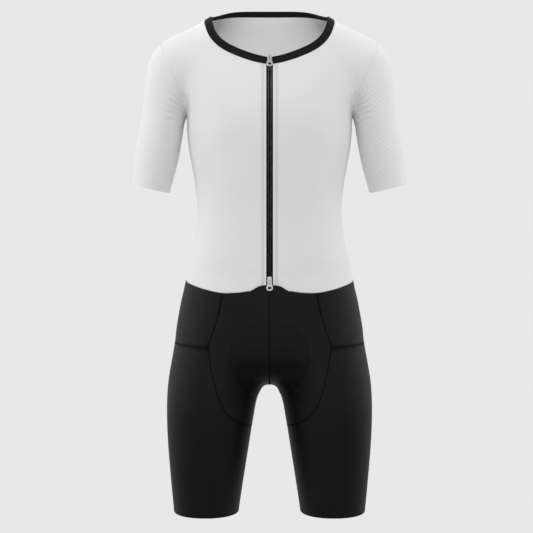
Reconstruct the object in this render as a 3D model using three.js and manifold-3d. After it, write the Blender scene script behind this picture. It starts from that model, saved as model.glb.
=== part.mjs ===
// A short-sleeved triathlon suit in one piece, standing in the round form that it has when worn.
// White body and sleeves, black shorts, black neck binding and a two-way zip down the front.
// Millimetres. +Z is up, -Y is the front and +X is the wearer's left.
// The origin is midway between the tops of the shoulders, where the wearer carries the suit.
import * as THREE from "three";
import Module from "manifold-3d";

// Cloth
const WALL = 1.4;
const SEAM_GAP = 0.3;
const BAND_PROUD = 0.9;
const BAND_WIDTH = { front: 15, back: 12 };
const PAD_GAP = 0.3;
const PAD_THICK = 2.6;

// Heights of the main lines
const NECK_BACK = 33;
const ARMPIT = -168;
const WAIST_BACK = -468;

// Arm: the line from the shoulder's centre to the cuff's centre
const SHOULDER = new THREE.Vector3(182.5, 0, -67);
const CUFF = new THREE.Vector3(224, -6, -297);

// How much further than the cuff's centre the sleeve reaches: all round, then more in front and inside
const CUFF_REACH = { even: 3.5, front: 5, inner: 2.5 };

// Zip. The chain's front is proud of the cloth's middle.
const ZIP_OPENING = 6.3;
const ZIP_TOP = -61.5;
const ZIP_END = -483.4;
const CHAIN_HALF = 2.5;
const CHAIN_FRONT = 0.4;
const CHAIN_THICK = 2;
const TAPE_HALF = 16;
const TAPE_THICK = 0.8;
const TAPE_GAP = 0.3;

// Sliders: where they stand on the zip, and the shape of a slider and of the pull tab on its bridge
const SLIDER_HEIGHTS = { upper: -63.5, lower: -474 };
const SLIDER = {
  top: 6,
  bottom: -6,
  half: 4.4,
  thick: 2.6,
  edge: 0.7,
  shoulder: 2.2,
  foot: 2,
  taper: 0.6,
  bridgeReach: 3.4,
  bridgeWidth: 2.2,
  bridgeRise: 2.8,
  bridgeCorner: 1.2,
  strap: 0.8,
};
const PIVOT_RISE = 1.05;
const JOIN = 0.1;
const PULL = {
  armHalf: 4.3,
  armInner: 1.6,
  armOuter: 3,
  ring: { wide: 6.3, tall: 5 },
  hole: { wide: 3.5, tall: 2.2 },
  eye: 0.9,
  eyeDown: 7.6,
  reach: 20,
  thick: 1.4,
  bar: 0.6,
};

// How many steps each seam takes. Panels that share a seam share its points, so the front's top
// (neck and shoulder) has as many steps as its waist, and the back's likewise.
const STEPS = {
  neckFront: 10,
  neckBack: 8,
  shoulder: 4,
  armhole: 11,
  side: 14,
  sleeve: 10,
  waistCentre: 7,
  waistSide: 7,
  waistBackSide: 5,
  waistBackCentre: 7,
  hip: 6,
  thigh: 10,
  inseam: 8,
  band: 2,
  zip: 22,
  pad: 22,
  padWide: 3,
};

// The figure that fills the suit, as level sections: half width, then depth to the front and to the back.
const TRUNK = profile(["half", "front", "back"], [
  [70, 60, 34, 46],
  [38, 90, 50, 62],
  [20, 118, 58, 74],
  [8, 139, 63, 81],
  [0, 151, 67, 86],
  [-10, 164, 72, 91],
  [-25, 174, 77, 97],
  [-45, 176, 84, 103],
  [-75, 172, 95, 110],
  [-105, 166, 106, 115],
  [-135, 159, 115, 117],
  [-165, 156, 121, 117],
  [-195, 156, 124, 113],
  [-225, 153, 124, 108],
  [-255, 147.5, 120, 102],
  [-290, 140, 115, 94],
  [-330, 135.5, 109, 87],
  [-380, 139, 107, 82],
  [-430, 149, 108, 85],
  [-480, 159.5, 109, 95],
  [-530, 168, 108, 110],
  [-570, 168, 105, 120],
  [-600, 158, 100, 123],
  [-625, 138, 93, 117],
  [-645, 104, 79, 98],
  [-657, 66, 56, 68],
  [-664, 30, 26, 32],
  [-667, 4, 4, 4],
]);
const TRUNK_SQUARE = 2.4;
const TRUNK_END = -667;

const LEG = profile(["centre", "half", "front", "back"], [
  [-500, 80, 20, 20, 20],
  [-520, 84, 62, 72, 84],
  [-560, 90, 80, 93, 110],
  [-600, 93.5, 85.5, 98, 120],
  [-640, 97.5, 90.5, 97, 119],
  [-670, 103.5, 89.5, 95, 112],
  [-700, 109.5, 85, 93, 103],
  [-740, 113, 81.5, 91, 93],
  [-780, 115.3, 77.3, 89, 84],
  [-830, 117.3, 71.2, 84, 73],
  [-880, 119, 65, 76, 64],
  [-930, 120, 59, 69, 58],
  [-970, 120, 56, 66, 56],
]);
const LEG_SQUARE = 2.1;

// Along the arm, from 0 at the shoulder's centre to 1 at the cuff: half width and half depth.
const ARM = profile(["wide", "deep"], [
  [1.4, 33, 42],
  [1, 36.2, 45.5],
  [0.92, 38, 47.5],
  [0.76, 41.4, 50],
  [0.6, 41.2, 52],
  [0.42, 40.5, 54],
  [0.22, 47, 57],
  [0.08, 48.5, 58],
  [0, 48, 57],
]);

// How softly the figure's limbs run into one another, and the heights between which each blend changes
const HIP_TOP = -480;
const HIP_BLEND = 24;
const THIGH_BLEND = 28;
const ARMPIT_BLEND = 5;
const SHOULDER_BLEND = 40;
const BLEND_LOW = -160;
const BLEND_HIGH = -60;

// Below the armpit the arm and the trunk are kept this far out of each other's cloth.
const LIMBS_APART = 60;

// How near the skin a settled point lies, and the longest step towards it
const SKIN_NEAR = 0.005;
const SETTLE_STEP = 8;
const FIGURE_REACH = 400;

// A smooth value of every column, from rows sorted by their first number, falling.
function profile(columns, rows) {
  const slope = (k, c) => {
    const a = rows[Math.max(k - 1, 0)];
    const b = rows[Math.min(k + 1, rows.length - 1)];
    return (b[c] - a[c]) / (b[0] - a[0]);
  };
  return (at) => {
    const held = Math.min(rows[0][0], Math.max(rows[rows.length - 1][0], at));
    let k = 0;
    while (k < rows.length - 2 && held < rows[k + 1][0]) k += 1;
    const [a, b] = [rows[k], rows[k + 1]];
    const span = b[0] - a[0];
    const t = (held - a[0]) / span;
    const value = {};
    columns.forEach((name, i) => {
      const c = i + 1;
      const rise = t * t * (3 - 2 * t);
      const leave = t * (1 - t) * (1 - t) * slope(k, c) * span;
      const arrive = t * t * (t - 1) * slope(k + 1, c) * span;
      value[name] = a[c] + (b[c] - a[c]) * rise + leave + arrive;
    });
    return value;
  };
}

function smoothStep(from, to, at) {
  const t = Math.min(1, Math.max(0, (at - from) / (to - from)));
  return t * t * (3 - 2 * t);
}

// The smaller of two distances, rounded off where they are nearly equal.
function softMin(a, b, reach) {
  const h = Math.max(reach - Math.abs(a - b), 0) / reach;
  return Math.min(a, b) - (h * h * reach) / 4;
}

// Distance outside a section that reaches `half` sideways and `deep` lengthways.
function outside(x, y, half, deep, square) {
  const reach = Math.hypot(x, y);
  if (reach < 1e-6) return -Math.min(half, deep);
  const share = (Math.abs(x / half) ** square + Math.abs(y / deep) ** square) ** (1 / square);
  return reach - reach / share;
}

// A level-section distance made true on slopes, where the section changes quickly with height.
function sloped(gap, p) {
  const here = gap(p.x, p.y, p.z);
  const rise = gap(p.x, p.y, p.z + 0.5) - gap(p.x, p.y, p.z - 0.5);
  return here / Math.hypot(1, rise);
}

function trunkGap(x, y, z) {
  const s = TRUNK(z);
  return outside(x, y, s.half, y < 0 ? s.front : s.back, TRUNK_SQUARE) + Math.max(0, TRUNK_END - z);
}

function legGap(x, y, z) {
  const s = LEG(z);
  return outside(x - s.centre, y, s.half, y < 0 ? s.front : s.back, LEG_SQUARE);
}

const armAxis = CUFF.clone().sub(SHOULDER);
const armLength = armAxis.length();
armAxis.normalize();
const armSide = new THREE.Vector3(armAxis.z, 0, -armAxis.x).negate().normalize();
const armFront = new THREE.Vector3().crossVectors(armAxis, armSide).normalize();

function armGap(p) {
  const from = new THREE.Vector3(Math.abs(p.x), p.y, p.z).sub(SHOULDER);
  const along = from.dot(armAxis);
  const t = Math.max(0, along / armLength);
  const s = ARM(t);
  const spare = along - t * armLength;
  const a = from.dot(armSide);
  const b = from.dot(armFront);
  const reach = Math.hypot(a, b, spare);
  if (reach < 1e-6) return -s.wide;
  const share = Math.hypot(a / s.wide, b / s.deep, spare / s.wide);
  return reach - reach / share;
}

// Distance from the figure's skin.
// Below the armpit the body cloth leaves the arm out, and the sleeve the trunk.
function figure(p, cloth) {
  const legs = softMin(
    sloped(legGap, p),
    sloped(legGap, new THREE.Vector3(-p.x, p.y, p.z)),
    THIGH_BLEND,
  );
  let trunk = sloped(trunkGap, p);
  if (p.z < HIP_TOP) trunk = softMin(trunk, legs, HIP_BLEND);
  let arm = armGap(p);
  const apart = LIMBS_APART * smoothStep(ARMPIT + 8, ARMPIT - 6, p.z);
  if (cloth === "body") arm += apart;
  if (cloth === "sleeve") trunk += apart;
  const blend = ARMPIT_BLEND + (SHOULDER_BLEND - ARMPIT_BLEND) * smoothStep(BLEND_LOW, BLEND_HIGH, p.z);
  return softMin(trunk, arm, blend);
}

function outward(p, cloth) {
  const step = 0.4;
  const q = p.clone();
  const slope = ["x", "y", "z"].map((axis) => {
    q.copy(p)[axis] += step;
    const ahead = figure(q, cloth);
    q.copy(p)[axis] -= step;
    return (ahead - figure(q, cloth)) / (2 * step);
  });
  return new THREE.Vector3(...slope);
}

// Moves a point to the skin by the shortest way.
function settle(p, cloth) {
  const q = p.clone();
  for (let k = 0; k < 12; k += 1) {
    const gap = figure(q, cloth);
    if (Math.abs(gap) < SKIN_NEAR) break;
    const slope = outward(q, cloth);
    const move = -gap / Math.max(slope.lengthSq(), 0.2);
    q.addScaledVector(slope, Math.max(-SETTLE_STEP, Math.min(SETTLE_STEP, move)));
  }
  return q;
}

const WAYS = {
  front: new THREE.Vector3(0, -1, 0),
  back: new THREE.Vector3(0, 1, 0),
  out: new THREE.Vector3(1, 0, 0),
  in: new THREE.Vector3(-1, 0, 0),
  up: new THREE.Vector3(0, 0, 1),
  down: new THREE.Vector3(0, 0, -1),
};

// Where a straight line from inside the figure comes out through the skin.
function leave(start, way, cloth) {
  if (figure(start, cloth) > 0) return settle(start, cloth);
  return firstOut((reach) => start.clone().addScaledVector(way, reach), cloth);
}

// The first point of a path that is out of the figure. The path takes a distance and gives a point.
function firstOut(path, cloth) {
  let step = 4;
  let reach = 0;
  while (reach < FIGURE_REACH && figure(path(reach), cloth) < 0) reach += step;
  for (let k = 0; k < 14; k += 1) {
    step /= 2;
    reach += figure(path(reach), cloth) > 0 ? -step : step;
  }
  return path(reach);
}

// Seams of the wearer's left half. Each row is a start inside the figure and the way out from it.
const SEAMS = {
  neckFront: [
    [6.3, 0, -76, "front"],
    [25.5, 0, -72.8, "front"],
    [44, 0, -66.5, "front"],
    [72.5, 0, -54.8, "front"],
    [93, 0, -42.8, "front"],
    [106, 0, -30.4, "front"],
    [114.5, 0, -17.6, "front"],
    [119.5, 0, -3.5, "front"],
    [121.5, -12, -30, "up"],
    [121, 4, -30, "up"],
  ],
  neckBack: [
    [121, 4, -30, "up"],
    [116, 22, -30, "up"],
    [103, 0, 23.5, "back"],
    [82, 0, 29.5, "back"],
    [52, 0, 32.5, "back"],
    [24, 0, NECK_BACK, "back"],
    [0, 0, NECK_BACK, "back"],
  ],
  shoulder: [
    [121, 4, -30, "up"],
    [150, 5, -40, "up"],
    [178, 6, -50, "up"],
    [204, 4, -60, "up"],
  ],
  side: [
    [0, 4, -200, "out"],
    [0, 4, -260, "out"],
    [0, 6, -330, "out"],
    [0, 8, -420, "out"],
    [0, 10, -474, "out"],
  ],
  waistCentre: [
    [0, 0, -484, "front"],
    [14, 0, -484, "front"],
    [24, 0, -488.5, "front"],
    [36, 0, -494.3, "front"],
    [55, 0, -498, "front"],
    [85.5, 0, -499.5, "front"],
  ],
  waistSide: [
    [85.5, 0, -499.5, "front"],
    [112, 0, -495, "front"],
    [132, 0, -489, "front"],
    [0, -40, -481, "out"],
    [0, 10, -474, "out"],
  ],
  waistBackSide: [
    [0, 10, -474, "out"],
    [0, 50, -472, "out"],
    [115, 0, -471, "back"],
    [78, 0, -470, "back"],
  ],
  waistBackCentre: [
    [78, 0, -470, "back"],
    [40, 0, -469, "back"],
    [0, 0, WAIST_BACK, "back"],
  ],
  hipFront: [
    [85.5, 0, -499.5, "front"],
    [90, 0, -525, "front"],
    [96, 0, -547, "front"],
    [106, 0, -577, "front"],
    [113.5, 0, -596, "front"],
  ],
  hipBack: [
    [78, 0, -470, "back"],
    [84, 0, -510, "back"],
    [96, 0, -560, "back"],
    [110, 0, -598, "back"],
  ],
  thighFront: [
    [113.5, 0, -596, "front"],
    [111, 0, -630, "front"],
    [103, 0, -660, "front"],
    [97, 0, -690, "front"],
    [84, 0, -718, "front"],
    [58, 0, -738, "front"],
    [110, 4, -749, "in"],
  ],
  thighBack: [
    [110, 0, -598, "back"],
    [108, 0, -635, "back"],
    [101, 0, -672, "back"],
    [86, 0, -708, "back"],
    [60, 0, -733, "back"],
    [110, 4, -749, "in"],
  ],
  sideFront: [
    [113.5, 0, -596, "front"],
    [145, 0, -593.5, "front"],
    [90, -45, -591, "out"],
    [90, 6, -590, "out"],
  ],
  sideBack: [
    [90, 6, -590, "out"],
    [90, 62, -594, "out"],
    [145, 0, -596, "back"],
    [110, 0, -598, "back"],
  ],
  centreFront: [
    [0, 0, -484, "front"],
    [0, 0, -530, "front"],
    [0, 0, -580, "front"],
    [0, 0, -620, "front"],
    [0, -38, -600, "down"],
    [0, 4, -600, "down"],
  ],
  centreBack: [
    [0, 0, WAIST_BACK, "back"],
    [0, 0, -520, "back"],
    [0, 0, -580, "back"],
    [0, 0, -620, "back"],
    [0, 46, -600, "down"],
    [0, 4, -600, "down"],
  ],
  insideThigh: [
    [0, 4, -600, "down"],
    [110, 4, -690, "in"],
    [110, 4, -715, "in"],
    [110, 4, -749, "in"],
  ],
  padMiddle: [
    [0, 0, -550, "front"],
    [0, 0, -590, "front"],
    [0, 0, -622, "front"],
    [0, -38, -600, "down"],
    [0, 4, -600, "down"],
    [0, 46, -600, "down"],
    [0, 0, -622, "back"],
    [0, 0, -590, "back"],
    [0, 0, -556, "back"],
  ],
  padEdge: [
    [18, 0, -551.5, "front"],
    [43, 0, -561, "front"],
    [60, 0, -578, "front"],
    [71, 0, -602, "front"],
    [73, 0, -625, "front"],
    [62, 0, -655, "front"],
    [110, -32, -688, "in"],
    [110, 4, -700, "in"],
    [110, 40, -688, "in"],
    [64, 0, -655, "back"],
    [70, 0, -625, "back"],
    [62, 0, -588, "back"],
    [42, 0, -564, "back"],
    [18, 0, -557, "back"],
  ],
  inseam: [
    [110, 4, -749, "in"],
    [112, 4, -800, "in"],
    [115, 4, -860, "in"],
    [118, 4, -913, "in"],
  ],
};

// The armhole lies in an upright sheet, whose distance from the middle changes with height.
const ARMHOLE = profile(["x"], [
  [-15, 206],
  [-50, 200],
  [-86, 182],
  [-127, 167],
  [-160, 157.5],
  [-180, 156],
]);
const ARMHOLE_MIDDLE = -95;

// The hem's height round the leg: it hangs lowest in front.
const HEM_SIDE = -911;
const HEM_DIP = 7;
const LEG_MIDDLE = 4;

function seam(name, steps, cloth) {
  const knots = SEAMS[name].map(([x, y, z, way]) => (
    leave(new THREE.Vector3(x, y, z), WAYS[way], cloth)
  ));
  const curve = new THREE.CatmullRomCurve3(knots, false, "centripetal");
  curve.arcLengthDivisions = 400;
  const points = curve.getSpacedPoints(steps).map((p) => settle(p, cloth));
  points[0].copy(knots[0]);
  points[steps].copy(knots[knots.length - 1]);
  return points;
}

// From the shoulder's top over the front (side -1) or the back (side 1) to the armpit.
function armhole(side) {
  const points = [];
  for (let k = 0; k <= STEPS.armhole; k += 1) {
    const turn = (Math.PI * k) / STEPS.armhole;
    points.push(firstOut((reach) => {
      const z = ARMHOLE_MIDDLE + reach * Math.cos(turn);
      return new THREE.Vector3(ARMHOLE(z).x, side * reach * Math.sin(turn), z);
    }));
  }
  return points;
}

const chain = (...lines) => lines.reduce((all, line) => all.concat(line.slice(1)), lines[0].slice(0, 1));
const reversed = (line) => [...line].reverse();
const mirrorPoint = (p) => new THREE.Vector3(-p.x, p.y, p.z);

// A net of points inside four border lines. top and bottom run the same way, and so do left and right.
function net(top, bottom, left, right, cloth) {
  const rows = left.length - 1;
  const columns = top.length - 1;
  const grid = [];
  for (let j = 0; j <= rows; j += 1) {
    const v = j / rows;
    const row = [];
    for (let i = 0; i <= columns; i += 1) {
      const u = i / columns;
      if (j === 0) row.push(top[i].clone());
      else if (j === rows) row.push(bottom[i].clone());
      else if (i === 0) row.push(left[j].clone());
      else if (i === columns) row.push(right[j].clone());
      else {
        const p = new THREE.Vector3()
          .addScaledVector(top[i], 1 - v)
          .addScaledVector(bottom[i], v)
          .addScaledVector(left[j], 1 - u)
          .addScaledVector(right[j], u)
          .addScaledVector(top[0], -(1 - u) * (1 - v))
          .addScaledVector(top[columns], -u * (1 - v))
          .addScaledVector(bottom[0], -(1 - u) * v)
          .addScaledVector(bottom[columns], -u * v);
        row.push(settle(p, cloth));
      }
    }
    grid.push(row);
  }
  return grid;
}

// Borders that are seams draw back by half the seam's gap.
function drawBack(grid, borders, gap = SEAM_GAP / 2) {
  const rows = grid.length - 1;
  const columns = grid[0].length - 1;
  const moved = grid.map((row) => row.map((p) => p.clone()));
  const pull = (j, i, dj, di, along) => {
    const from = grid[j][i];
    const inner = grid[j + dj][i + di].clone().sub(from);
    const line = along.normalize();
    inner.addScaledVector(line, -inner.dot(line));
    if (inner.length() > 1e-6) moved[j][i].addScaledVector(inner.normalize(), gap);
  };
  for (let i = 0; i <= columns; i += 1) {
    const before = Math.max(i - 1, 0);
    const after = Math.min(i + 1, columns);
    if (borders.includes("top")) {
      pull(0, i, 1, 0, grid[0][after].clone().sub(grid[0][before]));
    }
    if (borders.includes("bottom")) {
      pull(rows, i, -1, 0, grid[rows][after].clone().sub(grid[rows][before]));
    }
  }
  for (let j = 0; j <= rows; j += 1) {
    const before = Math.max(j - 1, 0);
    const after = Math.min(j + 1, rows);
    if (borders.includes("left")) {
      pull(j, 0, 0, 1, grid[after][0].clone().sub(grid[before][0]));
    }
    if (borders.includes("right")) {
      pull(j, columns, 0, -1, grid[after][columns].clone().sub(grid[before][columns]));
    }
  }
  return moved;
}

const faces = (grid, cloth) => grid.map((row) => row.map((p) => outward(p, cloth).normalize()));

const mirrored = (grid) => grid.map((row) => reversed(row).map(mirrorPoint));

// A closed wall between two offsets of a net. A round net has its last column joined to its first.
function wall(grid, normals, outer, inner, round = false) {
  const rows = grid.length - 1;
  const columns = grid[0].length - (round ? 0 : 1);
  const wide = grid[0].length;
  const skin = (offset) => grid.flatMap((row, j) => row.map((p, i) => (
    p.clone().addScaledVector(normals[j][i], offset)
  )));
  const points = [...skin(outer), ...skin(inner)];
  const under = wide * (rows + 1);
  const at = (j, i, side) => side * under + j * wide + (i % wide);
  const index = [];
  const quad = (a, b, c, d) => {
    const short = points[a].distanceTo(points[c]) < points[b].distanceTo(points[d]);
    index.push(...(short ? [a, b, c, a, c, d] : [a, b, d, b, c, d]));
  };
  for (let j = 0; j < rows; j += 1) {
    for (let i = 0; i < columns; i += 1) {
      const [a, b, c, d] = [at(j, i, 0), at(j + 1, i, 0), at(j + 1, i + 1, 0), at(j, i + 1, 0)];
      const [p, q, r, s] = [grid[j][i], grid[j + 1][i], grid[j + 1][(i + 1) % wide], grid[j][(i + 1) % wide]];
      const short = p.distanceTo(r) < q.distanceTo(s);
      const tris = short ? [[a, b, c], [a, c, d]] : [[a, b, d], [b, c, d]];
      for (const [e, f, g] of tris) index.push(e, f, g, e + under, g + under, f + under);
    }
  }
  for (let i = 0; i < columns; i += 1) {
    quad(at(0, i, 0), at(0, i + 1, 0), at(0, i + 1, 1), at(0, i, 1));
    quad(at(rows, i + 1, 0), at(rows, i, 0), at(rows, i, 1), at(rows, i + 1, 1));
  }
  if (!round) {
    for (let j = 0; j < rows; j += 1) {
      quad(at(j + 1, 0, 0), at(j, 0, 0), at(j, 0, 1), at(j + 1, 0, 1));
      quad(at(j, columns, 0), at(j + 1, columns, 0), at(j + 1, columns, 1), at(j, columns, 1));
    }
  }
  const geometry = new THREE.BufferGeometry();
  geometry.setAttribute("position", new THREE.Float32BufferAttribute(points.flatMap((p) => p.toArray()), 3));
  geometry.setIndex(index);
  return geometry;
}

const manifold = await Module();
manifold.setup();
const { Manifold, CrossSection } = manifold;
manifold.setCircularSegments(20);

function solidGeometry(solid) {
  const mesh = solid.getMesh();
  const geometry = new THREE.BufferGeometry();
  const places = [];
  for (let k = 0; k < mesh.numVert; k += 1) {
    for (let c = 0; c < 3; c += 1) places.push(mesh.vertProperties[k * mesh.numProp + c]);
  }
  geometry.setAttribute("position", new THREE.Float32BufferAttribute(places, 3));
  geometry.setIndex([...mesh.triVerts]);
  return geometry;
}

function geometrySolid(geometry) {
  const mesh = new manifold.Mesh({
    numProp: 3,
    vertProperties: Float32Array.from(geometry.attributes.position.array),
    triVerts: Uint32Array.from(geometry.index.array),
  });
  return new Manifold(mesh);
}

const COLOURS = {
  white: 0xe3e5e9,
  black: 0x17181a,
  band: 0x242527,
  tape: 0x1b1b1d,
  metal: 0xb9bcc0,
  pad: 0x2b2d31,
};

const suit = new THREE.Group();
suit.name = "triathlon_suit";

function add(name, geometry, colour, metal = false) {
  const material = new THREE.MeshStandardMaterial({
    color: COLOURS[colour],
    roughness: metal ? 0.3 : 0.8,
    metalness: metal ? 1 : 0,
    side: THREE.DoubleSide,
  });
  geometry.computeVertexNormals();
  const mesh = new THREE.Mesh(geometry, material);
  mesh.name = name;
  suit.add(mesh);
}

// Adds a panel for the wearer's left and its mirror image for the right.
function addPair(name, grid, normals, colour, outer = WALL / 2, inner = -WALL / 2, round = false) {
  add(`${name}_left`, wall(grid, normals, outer, inner, round), colour);
  add(`${name}_right`, wall(mirrored(grid), mirrored(normals), outer, inner, round), colour);
}

// A net for both halves, from a left half whose first column is the suit's middle.
const bothHalves = (grid) => grid.map((row) => [...reversed(row.slice(1)).map(mirrorPoint), ...row]);

// Seams
const lines = {
  neckFront: seam("neckFront", STEPS.neckFront, "body"),
  neckBack: seam("neckBack", STEPS.neckBack, "body"),
  shoulder: seam("shoulder", STEPS.shoulder),
  armholeFront: armhole(-1),
  armholeBack: armhole(1),
  waistCentre: seam("waistCentre", STEPS.waistCentre, "body"),
  waistSide: seam("waistSide", STEPS.waistSide, "body"),
  waistBackSide: seam("waistBackSide", STEPS.waistBackSide, "body"),
  waistBackCentre: seam("waistBackCentre", STEPS.waistBackCentre, "body"),
  hipFront: seam("hipFront", STEPS.hip, "body"),
  hipBack: seam("hipBack", STEPS.hip, "body"),
  thighFront: seam("thighFront", STEPS.thigh, "body"),
  thighBack: seam("thighBack", STEPS.thigh, "body"),
  sideFront: seam("sideFront", STEPS.waistSide, "body"),
  sideBack: seam("sideBack", STEPS.waistBackSide, "body"),
  centreFront: seam("centreFront", STEPS.hip + STEPS.thigh, "body"),
  centreBack: seam("centreBack", STEPS.hip + STEPS.thigh, "body"),
  inseam: seam("inseam", STEPS.inseam, "body"),
  insideThigh: seam("insideThigh", STEPS.waistCentre, "body"),
};
lines.shoulder[STEPS.shoulder].copy(lines.armholeFront[0]);
const armpit = lines.armholeFront[STEPS.armhole];
const sideCurve = new THREE.CatmullRomCurve3([
  armpit,
  ...SEAMS.side.map(([x, y, z, way]) => leave(new THREE.Vector3(x, y, z), WAYS[way], "body")),
], false, "centripetal");
lines.side = sideCurve.getSpacedPoints(STEPS.side).map((p, k) => (k === 0 ? p : settle(p, "body")));
lines.side[STEPS.side].copy(lines.waistSide[STEPS.waistSide]);

// White body
const zipLine = [];
const rowsDown = STEPS.armhole + STEPS.side;
for (let k = 0; k <= rowsDown; k += 1) {
  const z = THREE.MathUtils.lerp(SEAMS.neckFront[0][2], SEAMS.waistCentre[0][2], k / rowsDown);
  zipLine.push(leave(new THREE.Vector3(ZIP_OPENING, 0, z), WAYS.front, "body"));
}
const frontWaist = chain(lines.waistCentre, lines.waistSide).map((p) => p.clone());
frontWaist[0].copy(zipLine[rowsDown]);
const frontGrid = net(
  chain(lines.neckFront, lines.shoulder),
  frontWaist,
  zipLine,
  chain(lines.armholeFront, lines.side),
  "body",
);
addPair("front", drawBack(frontGrid, ["top", "bottom", "right"]), faces(frontGrid, "body"), "white");

const backMiddle = [];
for (let k = 0; k <= rowsDown; k += 1) {
  const z = THREE.MathUtils.lerp(NECK_BACK, WAIST_BACK, k / rowsDown);
  backMiddle.push(leave(new THREE.Vector3(0, 0, z), WAYS.back, "body"));
}
backMiddle[0].copy(lines.neckBack[STEPS.neckBack]);
backMiddle[rowsDown].copy(lines.waistBackCentre[STEPS.waistBackCentre]);
const backGrid = net(
  chain(reversed(lines.neckBack), lines.shoulder),
  chain(reversed(lines.waistBackCentre), reversed(lines.waistBackSide)),
  backMiddle,
  chain(lines.armholeBack, lines.side),
  "body",
);
const backNormals = faces(backGrid, "body");
const turned = (grid) => grid.map((row) => reversed(row));
const backWhole = turned(bothHalves(drawBack(backGrid, ["top", "bottom", "right"])));
add("back", wall(backWhole, turned(bothHalves(backNormals)), WALL / 2, -WALL / 2), "white");

// Sleeves: closed tubes from the armhole to the cuff
const armholeRing = [...lines.armholeBack, ...reversed(lines.armholeFront).slice(1, STEPS.armhole)];
const aroundArm = armholeRing.length;

function onArm(along, turn) {
  const start = SHOULDER.clone().addScaledVector(armAxis, along);
  const way = armSide.clone().multiplyScalar(Math.cos(turn)).addScaledVector(armFront, -Math.sin(turn));
  return leave(start, way, "sleeve");
}

const armholeTurns = [];
for (const [i, p] of armholeRing.entries()) {
  const from = p.clone().sub(SHOULDER);
  let turn = Math.atan2(-from.dot(armFront), from.dot(armSide));
  while (i > 0 && turn < armholeTurns[i - 1]) turn += 2 * Math.PI;
  armholeTurns.push(turn);
}
const sleeveGrid = [];
for (let j = 0; j <= STEPS.sleeve; j += 1) {
  const s = j / STEPS.sleeve;
  sleeveGrid.push(armholeRing.map((p, i) => {
    if (j === 0) return p.clone();
    const from = p.clone().sub(SHOULDER).dot(armAxis);
    const even = (2 * Math.PI * i) / aroundArm;
    const further = CUFF_REACH.even - CUFF_REACH.front * Math.sin(even) - CUFF_REACH.inner * Math.cos(even);
    return onArm(
      THREE.MathUtils.lerp(from, armLength + further, s),
      THREE.MathUtils.lerp(armholeTurns[i], even, s),
    );
  }));
}
const sleeveNormals = faces(sleeveGrid, "sleeve");
sleeveGrid[0].forEach((p, i) => sleeveNormals[0][i].copy(outward(p).normalize()));
sleeveGrid[0] = sleeveGrid[0].map((p, i) => {
  const down = sleeveGrid[1][i].clone().sub(p);
  return p.clone().addScaledVector(down.normalize(), SEAM_GAP / 2);
});
addPair("sleeve", sleeveGrid, sleeveNormals, "white", WALL / 2, -WALL / 2, true);

// Black shorts
const riseFront = net(
  lines.waistCentre,
  lines.insideThigh,
  lines.centreFront,
  chain(lines.hipFront, lines.thighFront),
  "body",
);
const allSides = ["top", "bottom", "left", "right"];
addPair("rise_front", drawBack(riseFront, allSides), faces(riseFront, "body"), "black");

const riseBack = net(
  lines.waistBackCentre,
  reversed(lines.insideThigh),
  chain(lines.hipBack, lines.thighBack),
  lines.centreBack,
  "body",
);
addPair("rise_back", drawBack(riseBack, allSides), faces(riseBack, "body"), "black");

const hip = net(
  chain(lines.waistSide, lines.waistBackSide),
  chain(lines.sideFront, lines.sideBack),
  lines.hipFront,
  lines.hipBack,
  "body",
);
addPair("hip", drawBack(hip, allSides), faces(hip, "body"), "black");

// Legs: from the inside seam over the front and the outer side to the back, and round to the seam again
const legTop = chain(
  reversed(lines.thighFront),
  lines.sideFront,
  lines.sideBack,
  lines.thighBack,
);
const legTopLength = [0];
for (let i = 1; i < legTop.length; i += 1) {
  legTopLength.push(legTopLength[i - 1] + legTop[i].distanceTo(legTop[i - 1]));
}

function hemPoint(turn) {
  const z = HEM_SIDE - HEM_DIP * Math.max(0, Math.sin(turn));
  const way = new THREE.Vector3(-Math.cos(turn), -Math.sin(turn), 0);
  return leave(new THREE.Vector3(LEG(z).centre, LEG_MIDDLE, z), way, "body");
}

const hem = legTopLength.map((far) => (
  hemPoint((2 * Math.PI * far) / legTopLength[legTopLength.length - 1])
));
lines.inseam[STEPS.inseam].copy(hem[0]);
const leg = net(legTop, hem, lines.inseam, lines.inseam, "body");
addPair("leg", drawBack(leg, ["top", "left", "right"]), faces(leg, "body"), "black");

// Seat pad: lies inside the rise, from the front under the crotch to the seat
const padMiddle = seam("padMiddle", STEPS.pad, "body");
const padEdge = seam("padEdge", STEPS.pad, "body");
const padEnd = (k) => {
  const line = [];
  for (let i = 0; i <= STEPS.padWide; i += 1) {
    line.push(settle(padMiddle[k].clone().lerp(padEdge[k], i / STEPS.padWide), "body"));
  }
  return line;
};
const padGrid = net(padEnd(0), padEnd(STEPS.pad), padMiddle, padEdge, "body");
const padTop = -WALL / 2 - PAD_GAP;
const padRough = wall(bothHalves(padGrid), bothHalves(faces(padGrid, "body")), 0, padTop - PAD_THICK);

// The pad's outer face is cut to the inside of the rise, whose faces it follows at an even gap.
const riseNets = [riseFront, riseBack].map((grid) => [grid, faces(grid, "body")]);
const riseCutters = riseNets.flatMap(([grid, normals]) => [
  wall(grid, normals, WALL, padTop),
  wall(mirrored(grid), mirrored(normals), WALL, padTop),
]);
const pad = riseCutters.reduce(
  (rest, cutter) => rest.subtract(geometrySolid(cutter)),
  geometrySolid(padRough),
);
const padPieces = pad.decompose().sort((a, b) => b.volume() - a.volume());
add("seat_pad", solidGeometry(padPieces[0]), "pad");

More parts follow.
